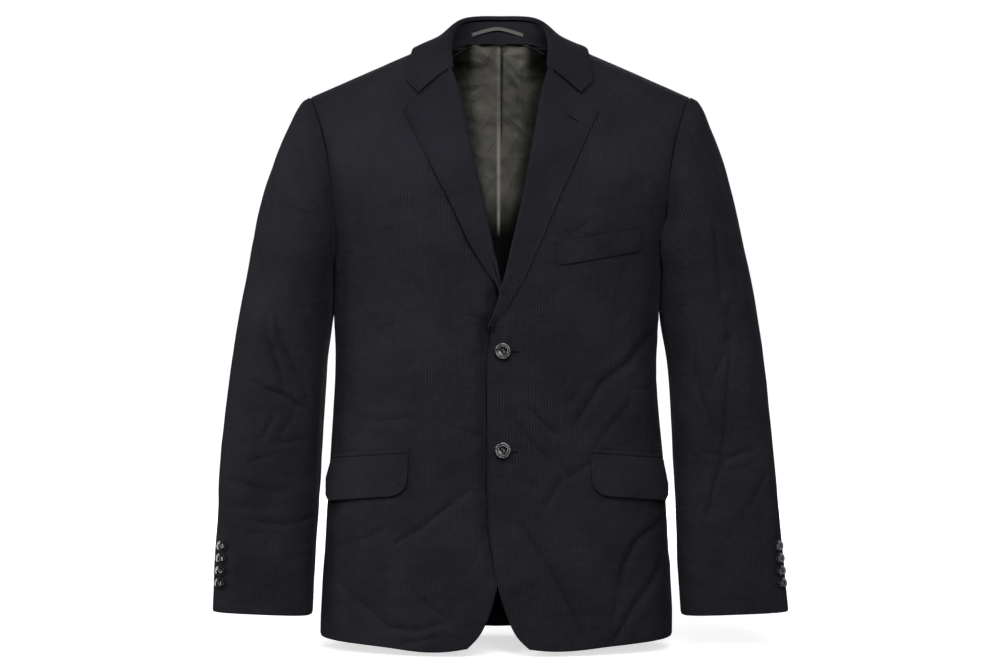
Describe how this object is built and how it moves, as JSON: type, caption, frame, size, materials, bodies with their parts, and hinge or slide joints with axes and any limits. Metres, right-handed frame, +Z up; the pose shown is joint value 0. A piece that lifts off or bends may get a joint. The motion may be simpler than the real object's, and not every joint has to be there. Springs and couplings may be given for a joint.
{
  "type": "blazer",
  "caption": "Single-breasted notch-lapel blazer in dark pinstripe cloth, buttoned and hollow as worn, with welt and flap pockets and a satin back lining.",
  "frame": {"origin": "midway between the two points where the shoulder seams meet the neck", "axes": "+Z up, +X to the wearer's left, the wearer faces -Y"},
  "size_m": [0.7095, 0.2513, 0.7879],
  "materials": {
    "cloth": "fine worsted with a faint pinstripe, matt with a soft nap",
    "lining": "satin",
    "button": "glossy, turned with a rim"
  },
  "bodies": {
    "root": {"front_left": "cloth", "front_right": "cloth", "side_panel_left": "cloth", "side_panel_right": "cloth", "back_left": "cloth", "back_right": "cloth", "sleeve_top_left": "cloth", "sleeve_under_left": "cloth", "sleeve_top_right": "cloth", "sleeve_under_right": "cloth", "collar_fall": "cloth", "collar_stand": "cloth", "lapel_left": "cloth", "lapel_right": "cloth", "chest_welt": "cloth", "pocket_jet_left": "cloth", "pocket_jet_right": "cloth", "pocket_flap_left": "cloth", "pocket_flap_right": "cloth", "lining_left": "lining", "lining_right": "lining", "hanger_loop": "lining", "button_front_upper": "button", "button_front_lower": "button", "button_cuff_left_1": "button", "button_cuff_left_2": "button", "button_cuff_left_3": "button", "button_cuff_left_4": "button", "button_cuff_right_1": "button", "button_cuff_right_2": "button", "button_cuff_right_3": "button", "button_cuff_right_4": "button"}
  },
  "joints": []
}
